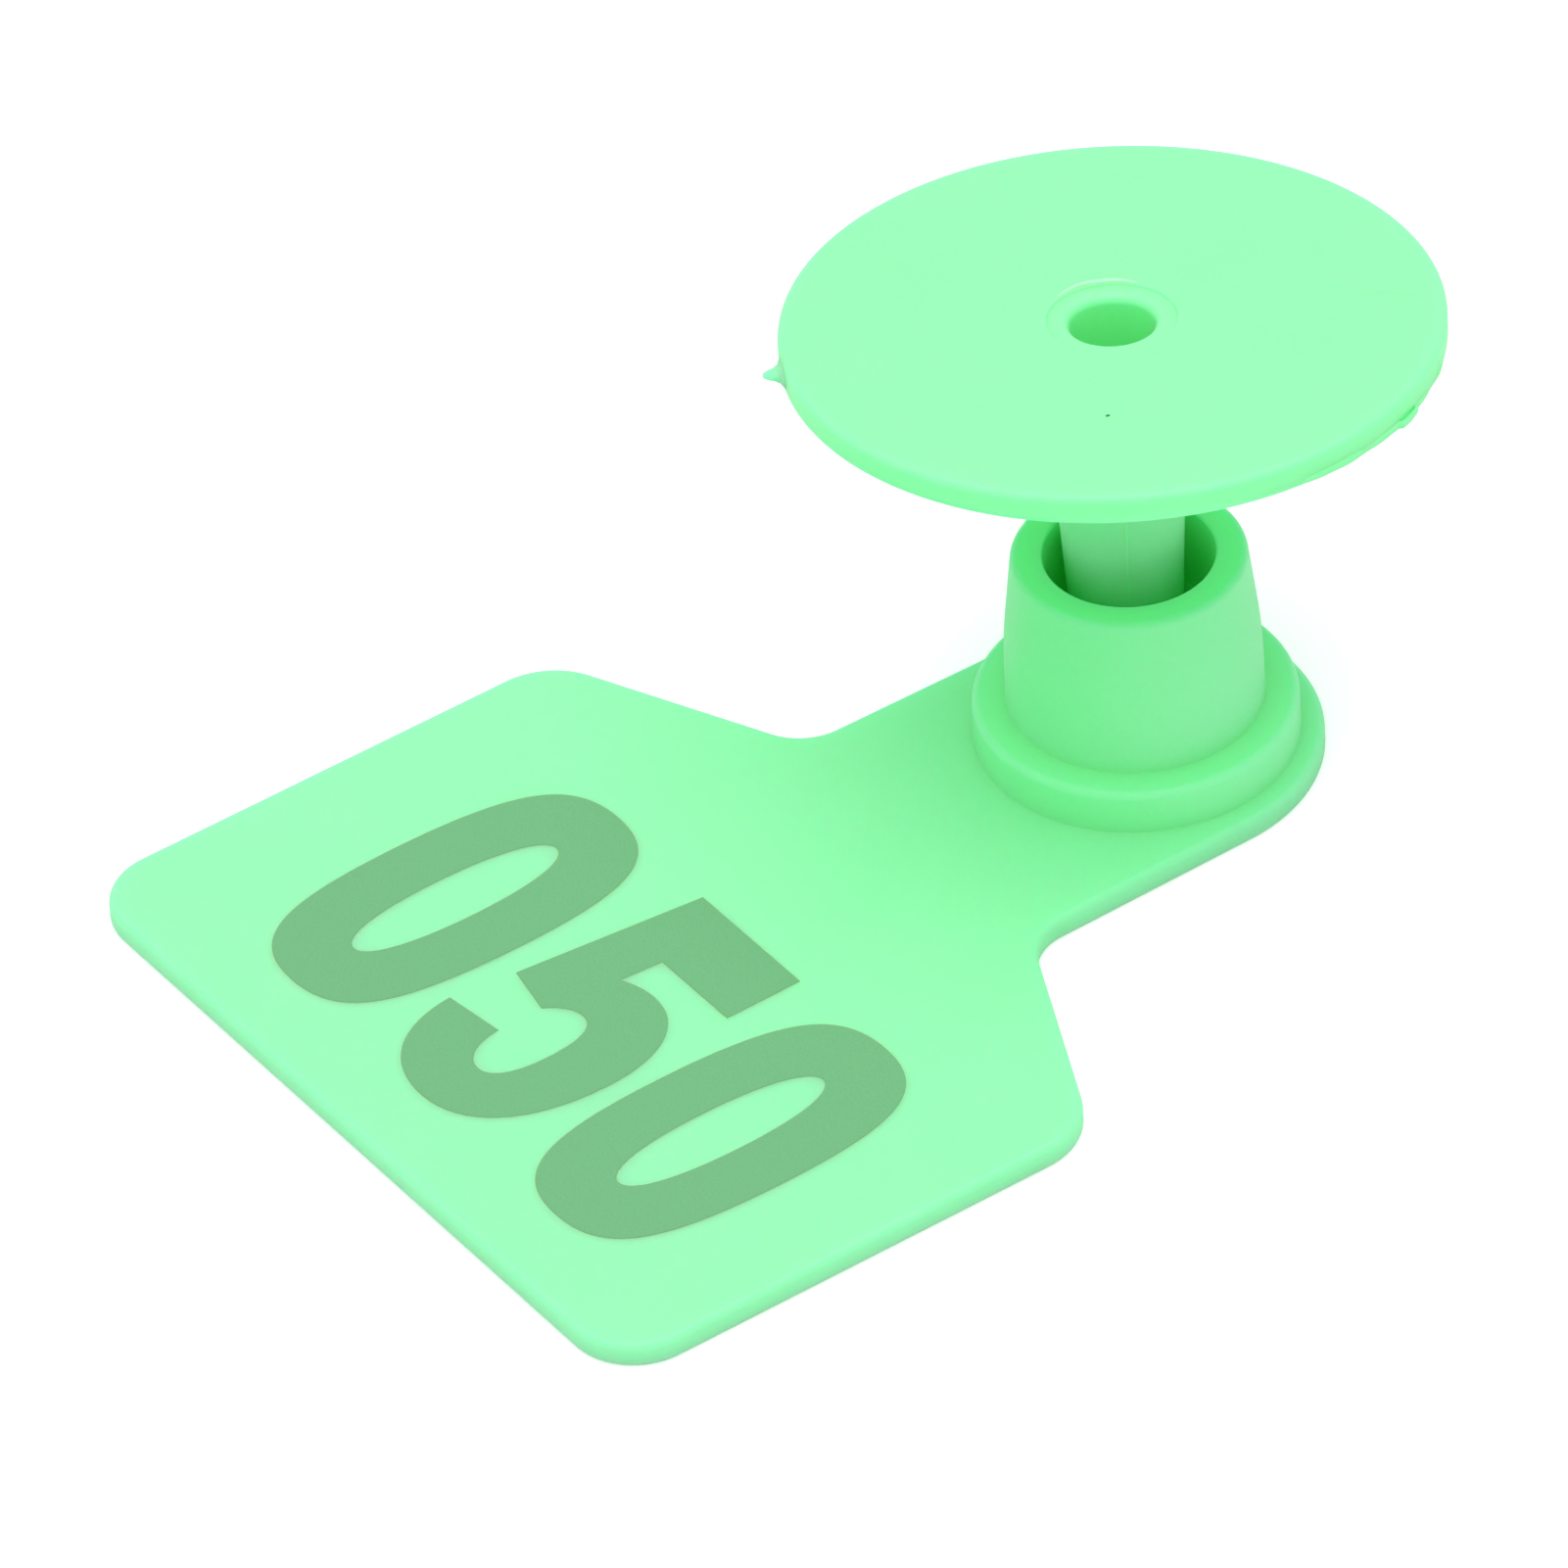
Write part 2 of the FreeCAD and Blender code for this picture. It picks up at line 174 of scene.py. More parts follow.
def plasticGroup():
    # the skin of moulded plastic: cloudy colour, fine grain and uneven sheen
    group = bpy.data.node_groups.new("mouldedSkin", "ShaderNodeTree")
    for name, kind, value in (("Colour", "NodeSocketColor", (1, 1, 1, 1)),
                              ("Cloud Colour", "NodeSocketColor", (1, 1, 1, 1)),
                              ("Cloud Size", "NodeSocketFloat", 8.0),
                              ("Cloud Amount", "NodeSocketFloat", 0.2),
                              ("Grain Size", "NodeSocketFloat", 0.12),
                              ("Grain Depth", "NodeSocketFloat", 0.002),
                              ("Wave Depth", "NodeSocketFloat", 0.01),
                              ("Roughness", "NodeSocketFloat", 0.5),
                              ("Roughness Spread", "NodeSocketFloat", 0.08)):
        socket = group.interface.new_socket(name=name, in_out="INPUT", socket_type=kind)
        socket.default_value = value
    for name, kind in (("Colour", "NodeSocketColor"), ("Roughness", "NodeSocketFloat"),
                       ("Normal", "NodeSocketVector")):
        group.interface.new_socket(name=name, in_out="OUTPUT", socket_type=kind)
    make, link = group.nodes.new, group.links.new
    inlet, outlet = make("NodeGroupInput"), make("NodeGroupOutput")
    place = make("ShaderNodeTexCoord")
    millimetres = make("ShaderNodeVectorMath")
    millimetres.operation = "SCALE"
    millimetres.inputs["Scale"].default_value = 1000.0
    link(place.outputs["Object"], millimetres.inputs[0])

    def noise(sizeSocket, detail, roughness):
        scale = make("ShaderNodeMath")
        scale.operation = "DIVIDE"
        scale.inputs[0].default_value = 1.0
        if isinstance(sizeSocket, float):
            scale.inputs[1].default_value = sizeSocket
        else:
            link(sizeSocket, scale.inputs[1])
        texture = make("ShaderNodeTexNoise")
        texture.inputs["Detail"].default_value = detail
        texture.inputs["Roughness"].default_value = roughness
        link(millimetres.outputs[0], texture.inputs["Vector"])
        link(scale.outputs[0], texture.inputs["Scale"])
        return texture.outputs["Fac"]

    def stretch(source, low, high):
        ramp = make("ShaderNodeMapRange")
        ramp.inputs["From Min"].default_value = low
        ramp.inputs["From Max"].default_value = high
        link(source, ramp.inputs["Value"])
        return ramp.outputs["Result"]

    def times(a, b):
        product = make("ShaderNodeMath")
        product.operation = "MULTIPLY"
        link(a, product.inputs[0])
        link(b, product.inputs[1])
        return product.outputs[0]

    def plus(a, b):
        total = make("ShaderNodeMath")
        total.operation = "ADD"
        link(a, total.inputs[0])
        link(b, total.inputs[1])
        return total.outputs[0]

    clouds = stretch(noise(inlet.outputs["Cloud Size"], 3.0, 0.5), 0.3, 0.7)
    grain = noise(inlet.outputs["Grain Size"], 2.0, 0.6)
    waves = noise(4.0, 1.0, 0.4)
    tint = make("ShaderNodeMix")
    tint.data_type = "RGBA"
    link(times(clouds, inlet.outputs["Cloud Amount"]), tint.inputs["Factor"])
    link(inlet.outputs["Colour"], tint.inputs["A"])
    link(inlet.outputs["Cloud Colour"], tint.inputs["B"])
    link(tint.outputs["Result"], outlet.inputs["Colour"])
    spread = make("ShaderNodeMath")
    spread.operation = "SUBTRACT"
    link(stretch(grain, 0.2, 0.8), spread.inputs[0])
    spread.inputs[1].default_value = 0.5
    link(plus(inlet.outputs["Roughness"], times(spread.outputs[0], inlet.outputs["Roughness Spread"])),
         outlet.inputs["Roughness"])
    height = plus(times(grain, inlet.outputs["Grain Depth"]), times(waves, inlet.outputs["Wave Depth"]))
    bump = make("ShaderNodeBump")
    bump.inputs["Distance"].default_value = mm
    link(height, bump.inputs["Height"])
    link(bump.outputs["Normal"], outlet.inputs["Normal"])
    return group


mouldedSkin = plasticGroup()


def plasticMaterial(name, look):
    material = bpy.data.materials.new(name)
    material.use_nodes = True
    tree = material.node_tree
    shader = tree.nodes["Principled BSDF"]
    skin = tree.nodes.new("ShaderNodeGroup")
    skin.node_tree = mouldedSkin
    for socket, value in look["skin"].items():
        skin.inputs[socket].default_value = (*value, 1) if isinstance(value, tuple) else value
    tree.links.new(skin.outputs["Colour"], shader.inputs["Base Color"])
    tree.links.new(skin.outputs["Roughness"], shader.inputs["Roughness"])
    tree.links.new(skin.outputs["Normal"], shader.inputs["Normal"])
    for socket, value in look["shader"].items():
        shader.inputs[socket].default_value = value
    material.diffuse_color = (*look["skin"]["Colour"], 1)
    return material


finishes = {
    "tagPlastic": {
        "skin": {"Colour": (0.284, 0.988, 0.432), "Cloud Colour": (0.262, 0.965, 0.405), "Cloud Size": 9.0,
                 "Cloud Amount": 0.5, "Grain Size": 0.16, "Grain Depth": 0.012, "Wave Depth": 0.03,
                 "Roughness": 0.5, "Roughness Spread": 0.16},
        "shader": {"IOR": 1.45, "Specular IOR Level": 0.4, "Subsurface Weight": 0.6,
                   "Subsurface Radius": (0.2, 1.0, 0.6), "Subsurface Scale": 0.003},
    },
    "buttonPlastic": {
        "skin": {"Colour": (0.270, 0.988, 0.412), "Cloud Colour": (0.252, 0.965, 0.392), "Cloud Size": 7.0,
                 "Cloud Amount": 0.5, "Grain Size": 0.14, "Grain Depth": 0.012, "Wave Depth": 0.02,
                 "Roughness": 0.48, "Roughness Spread": 0.14},
        "shader": {"IOR": 1.45, "Specular IOR Level": 0.4, "Subsurface Weight": 0.6,
                   "Subsurface Radius": (0.2, 1.0, 0.6), "Subsurface Scale": 0.003},
    },
    "markedPlastic": {
        "skin": {"Colour": (0.142, 0.402, 0.186), "Cloud Colour": (0.170, 0.448, 0.215), "Cloud Size": 0.1,
                 "Cloud Amount": 0.75, "Grain Size": 0.07, "Grain Depth": 0.02, "Wave Depth": 0.0,
                 "Roughness": 0.7, "Roughness Spread": 0.2},
        "shader": {"IOR": 1.45, "Specular IOR Level": 0.25},
    },
    "scorchedEdge": {
        "skin": {"Colour": (0.217, 0.383, 0.148), "Cloud Colour": (0.174, 0.435, 0.209), "Cloud Size": 0.8,
                 "Cloud Amount": 0.8, "Grain Size": 0.07, "Grain Depth": 0.02, "Wave Depth": 0.0,
                 "Roughness": 0.7, "Roughness Spread": 0.2},
        "shader": {"IOR": 1.45, "Specular IOR Level": 0.25},
    },
    "flashPlastic": {
        "skin": {"Colour": (0.262, 0.985, 0.405), "Cloud Colour": (0.24, 0.95, 0.38), "Cloud Size": 0.6,
                 "Cloud Amount": 0.6, "Grain Size": 0.1, "Grain Depth": 0.02, "Wave Depth": 0.0,
                 "Roughness": 0.48, "Roughness Spread": 0.15},
        "shader": {"IOR": 1.45, "Specular IOR Level": 0.4},
    },
    "paleFlash": {
        "skin": {"Colour": (0.42, 0.98, 0.58), "Cloud Colour": (0.34, 0.96, 0.50), "Cloud Size": 0.6,
                 "Cloud Amount": 0.6, "Grain Size": 0.1, "Grain Depth": 0.02, "Wave Depth": 0.0,
                 "Roughness": 0.4, "Roughness Spread": 0.15},
        "shader": {"IOR": 1.45, "Specular IOR Level": 0.5},
    },
    "turnedBrass": {
        "skin": {"Colour": (0.80, 0.55, 0.22), "Cloud Colour": (0.62, 0.40, 0.15), "Cloud Size": 1.2,
                 "Cloud Amount": 0.6, "Grain Size": 0.08, "Grain Depth": 0.01, "Wave Depth": 0.0,
                 "Roughness": 0.28, "Roughness Spread": 0.2},
        "shader": {"Metallic": 1.0},
    },
    "darkSpeck": {
        "skin": {"Colour": (0.05, 0.30, 0.10), "Cloud Colour": (0.03, 0.18, 0.06), "Cloud Size": 0.1,
                 "Cloud Amount": 0.7, "Grain Size": 0.05, "Grain Depth": 0.01, "Wave Depth": 0.0,
                 "Roughness": 0.6, "Roughness Spread": 0.2},
        "shader": {"IOR": 1.45, "Specular IOR Level": 0.3},
    },
}
plastics = {name: plasticMaterial(name, look) for name, look in finishes.items()}
print("finishes made:", len(plastics))


# shells: points with their own exact normals


def newShell():
    return {"points": [], "normals": [], "faces": [], "fills": []}


def addRing(shell, ring, matrix=None):
    first = len(shell["points"])
    turn = matrix.to_3x3() if matrix else None
    for point, normal in ring:
        shell["points"].append(matrix @ point if matrix else point)
        shell["normals"].append((turn @ normal if matrix else normal).normalized())
    return list(range(first, len(shell["points"])))


def bridge(shell, low, high):
    for i in range(len(low)):
        j = (i + 1) % len(low)
        if len(high) == 1:
            shell["faces"].append((low[i], low[j], high[0]))
        elif len(low) == 1:
            return bridge(shell, high[::-1], low)
        else:
            shell["faces"].append((low[i], low[j], high[j], high[i]))


def softProfile(corners, steps=7):
    # corners are (radius, height, rounding); the solid lies to the left of the way they run
    points = [Vector((c[0], c[1])) for c in corners]
    ways = [(b - a).normalized() for a, b in zip(points, points[1:])]
    sides = [Vector((w.y, -w.x)) for w in ways]
    profile = [(points[0], sides[0])]
    for k in range(1, len(points) - 1):
        before, after = ways[k - 1], ways[k]
        turn = math.atan2(before.x * after.y - before.y * after.x, before.dot(after))
        rounding = corners[k][2]
        if rounding <= 0 or abs(turn) < 1e-4:
            profile += [(points[k], sides[k - 1]), (points[k], sides[k])]
            continue
        reach = rounding * math.tan(abs(turn) / 2)
        start = points[k] - before * reach
        hub = start - sides[k - 1] * rounding * (1 if turn > 0 else -1)
        count = max(2, int(steps * abs(turn) / (math.pi / 2) + 1.5))
        for i in range(count + 1):
            angle = turn * i / count
            side = Vector((sides[k - 1].x * math.cos(angle) - sides[k - 1].y * math.sin(angle),
                           sides[k - 1].x * math.sin(angle) + sides[k - 1].y * math.cos(angle)))
            profile.append((hub + side * rounding * (1 if turn > 0 else -1), side))
    profile.append((points[-1], sides[-1]))
    return profile


def turnShell(shell, profile, segments, matrix=None):
    rings = []
    for point, side in profile:
        if abs(point.x) < 1e-6:
            ring = [(Vector((0, 0, point.y)) * mm, Vector((0, 0, 1 if side.y >= 0 else -1)))]
        else:
            ring = []
            for i in range(segments):
                c, s = math.cos(2 * math.pi * i / segments), math.sin(2 * math.pi * i / segments)
                ring.append((Vector((point.x * c, point.x * s, point.y)) * mm,
                             Vector((side.x * c, side.x * s, side.y))))
        rings.append(addRing(shell, ring, matrix))
    for (a, _), (b, _), low, high in zip(profile, profile[1:], rings, rings[1:]):
        if (a - b).length > 1e-6:
            bridge(shell, low, high)
    return rings


def finishPiece(name, shell, body, material, replaced=()):
    bm = bmesh.new()
    verts = [bm.verts.new(p) for p in shell["points"]]
    for face in shell["faces"]:
        bm.faces.new([verts[i] for i in face])
    for loops, up in shell["fills"]:
        edges = []
        for loop in loops:
            for i in range(len(loop)):
                a, b = verts[loop[i]], verts[loop[(i + 1) % len(loop)]]
                edges.append(bm.edges.get((a, b)) or bm.edges.new((a, b)))
        made = bmesh.ops.triangle_fill(bm, use_beauty=True, edges=edges, normal=(0, 0, up))
        for face in [g for g in made["geom"] if isinstance(g, bmesh.types.BMFace)]:
            face.normal_update()
            if face.normal.z * up < 0:
                face.normal_flip()
    mesh = bpy.data.meshes.new(name)
    bm.to_mesh(mesh)
    bm.free()
    mesh.polygons.foreach_set("use_smooth", [True] * len(mesh.polygons))
    if shell["normals"]:
        mesh.normals_split_custom_set_from_vertices(shell["normals"])
    mesh.materials.append(plastics[material])
    piece = bpy.data.objects.new(name, mesh)
    bpy.context.scene.collection.objects.link(piece)
    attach(piece, body)
    if replaced:
        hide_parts(*replaced)
    return piece


# the tag: panel, neck, flange and boss in one moulding

tagShape = {
    "width": 42.0,
    "reach": 43.7,               # from the boss axis to the bottom edge
    "shoulder": 18.0,            # where the sides begin
    "neck": 12.3,                # where the neck meets the slopes
    "neckWidth": 17.366,
    "endRadius": 8.508,
    "bottomCorner": 3.3,
    "shoulderCorner": 3.65,
    "neckCorner": 2.7,
    "thickness": 1.2,
    "frontEdge": 0.36,
    "backEdge": 0.25,
    "flangeRadius": 7.43,
    "flangeTop": 3.4,
    "flangeEdge": 0.38,
    "flangeFoot": 0.07,
    "bossFootRadius": 5.90,
    "bossFoot": 0.07,
    "bossWaistRadius": 5.84,    # the side bows out a little here
    "bossWaist": 6.9,
    "bossRimRadius": 5.358,
    "bossTop": 11.5,
    "bossRim": 0.36,
    "mouthRadius": 3.928,
    "mouthEdge": 0.14,
    "boreRadius": 3.728,         # at the top of the funnel
    "boreFloor": 7.3,
    "lipRadius": 3.116,
    "lipTop": 6.4,
    "lipFloor": 5.5,
    "chamberRadius": 4.156,
    "waistBow": 18.0,            # radius of the side's bow
    "edgeReach": 1.5,            # how far the flat faces run in before the edge is rounded
    "flangeRunIn": 1.2,
    "endSteps": 64,
    "cornerSteps": 22,           # for a quarter turn
    "turnSteps": 180,
}


def tagOutline(t):
    half, neckHalf = t["width"] / 2, t["neckWidth"] / 2
    # the end is a round of endRadius about the boss axis, reached along tangents from the neck
    neckFoot = Vector((neckHalf, -t["neck"]))
    far = neckFoot.length
    lean = math.acos(t["endRadius"] / far)
    base = math.atan2(neckFoot.y, neckFoot.x)
    touch = base + lean
    arc = []
    steps = t["endSteps"]
    sweep = (math.pi - touch) - touch
    for i in range(steps + 1):
        angle = touch + sweep * i / steps
        out = Vector((math.cos(angle), math.sin(angle)))
        arc.append((out * t["endRadius"], out))
    corners = [
        (-half, -t["reach"], t["bottomCorner"]),
        (half, -t["reach"], t["bottomCorner"]),
        (half, -t["shoulder"], t["shoulderCorner"]),
        (neckHalf, -t["neck"], t["neckCorner"]),
        (t["endRadius"] * math.cos(touch), t["endRadius"] * math.sin(touch), 0),
        (-t["endRadius"] * math.cos(touch), t["endRadius"] * math.sin(touch), 0),
        (-neckHalf, -t["neck"], t["neckCorner"]),
        (-half, -t["shoulder"], t["shoulderCorner"]),
    ]
    outline = []
    count = len(corners)
    for k, (x, y, rounding) in enumerate(corners):
        if rounding == 0:        # the ends of the round end, whose arc goes in once
            outline += arc if x > 0 else []
            continue
        previous = Vector(corners[k - 1][:2])
        following = Vector(corners[(k + 1) % count][:2])
        here = Vector((x, y))
        before, after = (here - previous).normalized(), (following - here).normalized()
        turn = math.atan2(before.x * after.y - before.y * after.x, before.dot(after))
        side = Vector((before.y, -before.x))
        way = 1 if turn > 0 else -1
        hub = here - before * rounding * math.tan(abs(turn) / 2) - side * rounding * way
        pieces = max(4, int(t["cornerSteps"] * abs(turn) / (math.pi / 2) + 0.5))
        for i in range(pieces + 1):
            angle = turn * i / pieces
            out = Vector((side.x * math.cos(angle) - side.y * math.sin(angle),
                          side.x * math.sin(angle) + side.y * math.cos(angle)))
            outline.append((hub + out * rounding * way, out))
    return outline


def makeTag(t):
    shell = newShell()
    outline = tagOutline(t)
    edge = softProfile([(-t["edgeReach"], 0, 0), (0, 0, t["backEdge"]),
                        (0, t["thickness"], t["frontEdge"]), (-t["edgeReach"], t["thickness"], 0)])
    rings = []
    for point, side in edge[1:-1]:
        ring = [(Vector((p.x + n.x * point.x, p.y + n.y * point.x, point.y)) * mm,
                 Vector((n.x * side.x, n.y * side.x, side.y))) for p, n in outline]
        rings.append(addRing(shell, ring))
    for low, high in zip(rings, rings[1:]):
        bridge(shell, low, high)
    boss = softProfile([
        (t["flangeRadius"] + t["flangeRunIn"], t["thickness"], 0),
        (t["flangeRadius"], t["thickness"], t["flangeFoot"]),
        (t["flangeRadius"], t["flangeTop"], t["flangeEdge"]),
        (t["bossFootRadius"], t["flangeTop"], t["bossFoot"]),
        (t["bossWaistRadius"], t["bossWaist"], t["waistBow"]),
        (t["bossRimRadius"], t["bossTop"], t["bossRim"]),
        (t["mouthRadius"], t["bossTop"], t["mouthEdge"]),
        (t["boreRadius"], t["boreFloor"], 0.15),
        (t["lipRadius"], t["lipTop"], 0.12),
        (t["lipRadius"], t["lipFloor"], 0.1),
        (t["chamberRadius"], t["lipFloor"], 0.1),
        (t["chamberRadius"], 0, 0.12),
        (t["chamberRadius"] + 1.0, 0, 0),
    ])
    turned = turnShell(shell, boss[1:-1], t["turnSteps"])
    shell["fills"] = [((rings[-1], turned[0]), 1), ((rings[0], turned[-1]), -1)]
    return finishPiece("mouldedTag", shell, "tag", "tagPlastic", ["female_tag"])


makeTag(tagShape)
print("tag moulded")


# the button: disc, hollow stem and the hole for the applicator pin

buttonShape = {
    "discRadius": 14.985,
    "discTop": 23.243,
    "discUnder": 21.75,
    "topEdge": 0.36,
    "underEdge": 0.4,
    "rootRadius": 3.30,
    "rootFillet": 0.8,
    "endRadius": 2.42,
    "stemEnd": 4.85,
    "pinHole": 1.94,
    "pinHoleFloor": 8.0,
    "recessRadius": 2.97,
    "recessFloor": 23.13,
    "holeEdge": 0.42,
    "shankSocket": 1.31,
    "turnSteps": 180,
}


def swivelFrame():
    # the button's own axes: its hinge line, from where that meets the tag's back
    hinge = next(j for j in frame["joints"] if j["name"] == "button_swivel")
    axis = Vector(hinge["axis"]).normalized()
    anchor = Vector(hinge["pos_m"])
    foot = anchor - axis * (anchor.z / axis.z)
    turn = Vector((0, 0, 1)).rotation_difference(axis).to_matrix().to_4x4()
    return Matrix.Translation(foot) @ turn


buttonFrame = swivelFrame()


def makeButton(b):
    shell = newShell()
    profile = softProfile([
        (b["shankSocket"], b["stemEnd"], 0),
        (b["endRadius"], b["stemEnd"], 0.2),
        (b["rootRadius"] - 0.02, b["discUnder"] - 0.5, 0),
        (b["rootRadius"], b["discUnder"], b["rootFillet"]),
        (b["discRadius"], b["discUnder"], b["underEdge"]),
        (b["discRadius"], b["discTop"], b["topEdge"]),
        (b["recessRadius"], b["discTop"], 0.08),
        (b["recessRadius"] - 0.04, b["recessFloor"], 0.06),
        (b["pinHole"], b["recessFloor"], b["holeEdge"]),
        (b["pinHole"], b["pinHoleFloor"], 0.1),
        (b["shankSocket"], b["pinHoleFloor"], 0.05),
        (b["shankSocket"], b["stemEnd"], 0),
    ])
    turnShell(shell, profile, b["turnSteps"], buttonFrame)
    return finishPiece("mouldedButton", shell, "button", "buttonPlastic", ["male_button"])


makeButton(buttonShape)

tipShape = {"headRadius": 3.6, "point": 0.4, "pointRadius": 0.06, "headHeight": 4.45, "band": 0.5,
            "shankRadius": 1.3, "shankTop": 8.0, "turnSteps": 96}


def makeTip(t):
    shell = newShell()
    shoulder = t["point"] + t["headHeight"]
    profile = softProfile([
        (0, t["point"], 0),
        (t["pointRadius"], t["point"], 0.05),
        (t["headRadius"], shoulder - t["band"], 0.12),
        (t["headRadius"], shoulder, 0.1),
        (t["shankRadius"], shoulder, 0.08),
        (t["shankRadius"], t["shankTop"], 0.15),
        (0, t["shankTop"], 0),
    ])
    turnShell(shell, profile, t["turnSteps"], buttonFrame)
    return finishPiece("brassTip", shell, "button", "turnedBrass", ["piercing_tip"])


makeTip(tipShape)
print("button and tip made")


# small moulding marks on the button

markShape = {
    "gateAngle": -116.5,         # degrees round the button's own axis
    "gateHeight": 22.5,
    # reach, half width and half height of the nub, from its root to its point
    "gateSections": ((14.70, 1.30, 0.62), (14.98, 1.05, 0.50), (15.12, 0.62, 0.36), (15.34, 0.40, 0.27),
                     (15.60, 0.30, 0.20), (15.80, 0.16, 0.12), (15.86, 0.04, 0.03)),
    "rimFlash": (-12.0, 44.0, 22.08),      # degrees from and to, and its height
    "rimFlashTorn": (21.5, 27.2, 0.14),    # the part that stands further out
    "speck": (6.50, -4.98, 0.11),
    "scuff": ((4.96, 9.12), (6.1, 10.7), (7.36, 11.97)),
    "seamAngle": -31.5,
    "seamFoot": 6.0,                       # where the line begins on the stem
    "seamStop": 0.9,                       # and how far under the disc it ends
    "burrAngle": 158.5,
    "burrSpread": 38,                      # degrees to each side
    "burrReach": 3.22,
    "rimWaves": ((0.035, 19, 0), (0.02, 47, 1)),       # size, rate and shift of each wave
    "burrWaves": ((0.05, 5.0, 0), (0.03, 11.0, 0)),
    "speckLayers": ((1.0, -0.01), (0.8, 0.006), (0.3, 0.01)),   # share of the size, and lift
    "ridges": {"rimFlash": (0.10, 0.20), "scuffLine": (0.035, 0.004),   # half width, half height
               "partingLine": (0.06, 0.012), "recessFlash": (0.14, 0.035)},
}


def looseShell(name, rings, material, body="button", matrix=None):
    # rings of equal length bridged and closed at both ends
    mesh = bpy.data.meshes.new(name)
    points = [p for ring in rings for p in ring]
    count = len(rings[0])
    faces = []
    for k in range(len(rings) - 1):
        for i in range(count):
            j = (i + 1) % count
            faces.append((k * count + i, k * count + j, (k + 1) * count + j, (k + 1) * count + i))
    faces.append(tuple(range(count))[::-1])
    faces.append(tuple(range((len(rings) - 1) * count, len(rings) * count)))
    mesh.from_pydata([(matrix or Matrix()) @ (Vector(p) * mm) for p in points], [], faces)
    bm = bmesh.new()
    bm.from_mesh(mesh)
    bmesh.ops.recalc_face_normals(bm, faces=bm.faces)
    bm.to_mesh(mesh)
    bm.free()
    mesh.polygons.foreach_set("use_smooth", [True] * len(mesh.polygons))
    mesh.materials.append(plastics[material])
    piece = bpy.data.objects.new(name, mesh)
    bpy.context.scene.collection.objects.link(piece)
    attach(piece, body)
    return piece


def radialNub(name, angle, height, sections, material):
    # a nub standing out from the rim: an oval at each reach
    a = math.radians(angle)
    out, along = Vector((math.cos(a), math.sin(a), 0)), Vector((-math.sin(a), math.cos(a), 0))
    rings = []
    for reach, halfWidth, halfHeight in sections:
        ring = []
        for i in range(28):
            t = 2 * math.pi * i / 28
            ring.append(out * reach + along * halfWidth * math.cos(t)
                        + Vector((0, 0, height + halfHeight * math.sin(t))))
        rings.append(ring)
    return looseShell(name, rings, material, matrix=buttonFrame)


def lowRidge(name, path, halfWidth, halfHeight, material):
    # a thin raised line that tapers away at both ends; path points are (place, up) in the button's frame
    rings = []
    for k, (place, up) in enumerate(path):
        ahead = (path[min(k + 1, len(path) - 1)][0] - path[max(k - 1, 0)][0]).normalized()
        side = ahead.cross(up).normalized()
        share = math.sin(math.pi * (k + 0.15) / (len(path) - 0.7)) ** 0.5
        ring = [place + side * halfWidth * share * math.cos(2 * math.pi * i / 12)
                + up * halfHeight * share * math.sin(2 * math.pi * i / 12) for i in range(12)]
        rings.append(ring)
    return looseShell(name, rings, material, matrix=buttonFrame)


def makeMarks(m):
    radialNub("gateStub", m["gateAngle"], m["gateHeight"], m["gateSections"], "buttonPlastic")
    shape, ridges = buttonShape, m["ridges"]
    up = Vector((0, 0, 1))
    start, stop, height = m["rimFlash"]
    torn = m["rimFlashTorn"]
    path = []
    for i in range(113):
        degrees = start + (stop - start) * i / 112
        a = math.radians(degrees)
        reach = shape["discRadius"] - 0.03
        for size, rate, shift in m["rimWaves"]:
            reach += size * math.sin(rate * a + shift)
        reach += torn[2] if torn[0] < degrees < torn[1] else 0
        path.append((Vector((reach * math.cos(a), reach * math.sin(a), height)), up))
    lowRidge("rimFlash", path, *ridges["rimFlash"], "flashPlastic")
    top = shape["discTop"]
    x, y, size = m["speck"]
    layers = []
    for share, lift in m["speckLayers"]:
        ring = []
        for i in range(14):
            a = 2 * math.pi * i / 14
            ring.append(Vector((x + size * share * math.cos(a), y + size * share * 1.2 * math.sin(a),
                                top + lift)))
        layers.append(ring)
    looseShell("speck", layers, "darkSpeck", matrix=buttonFrame)
    first, middle, last = [Vector((*p, top)) for p in m["scuff"]]
    path = []
    for i in range(17):
        t = i / 16
        path.append(((first * (1 - t) + middle * t) * (1 - t) + (middle * (1 - t) + last * t) * t, up))
    lowRidge("scuffLine", path, *ridges["scuffLine"], "flashPlastic")
    # the parting line down the stem
    seam = math.radians(m["seamAngle"])
    out = Vector((math.cos(seam), math.sin(seam), 0))
    path = []
    for i in range(21):
        z = m["seamFoot"] + (shape["discUnder"] - m["seamStop"] - m["seamFoot"]) * i / 20
        share = (z - shape["stemEnd"]) / (shape["discUnder"] - shape["stemEnd"])
        radius = shape["endRadius"] + (shape["rootRadius"] - shape["endRadius"]) * share
        path.append((out * radius + up * z, out))
    lowRidge("partingLine", path, *ridges["partingLine"], "flashPlastic")
    # pale flash left round part of the recess
    spread = m["burrSpread"]
    path = []
    for i in range(25):
        a = math.radians(m["burrAngle"] - spread + 2 * spread * i / 24)
        reach = m["burrReach"] + sum(size * math.sin(rate * a + shift) for size, rate, shift in m["burrWaves"])
        path.append((Vector((reach * math.cos(a), reach * math.sin(a), top)), up))
    lowRidge("recessFlash", path, *ridges["recessFlash"], "paleFlash")


makeMarks(markShape)
print("moulding marks added")


# the number marked on the panel

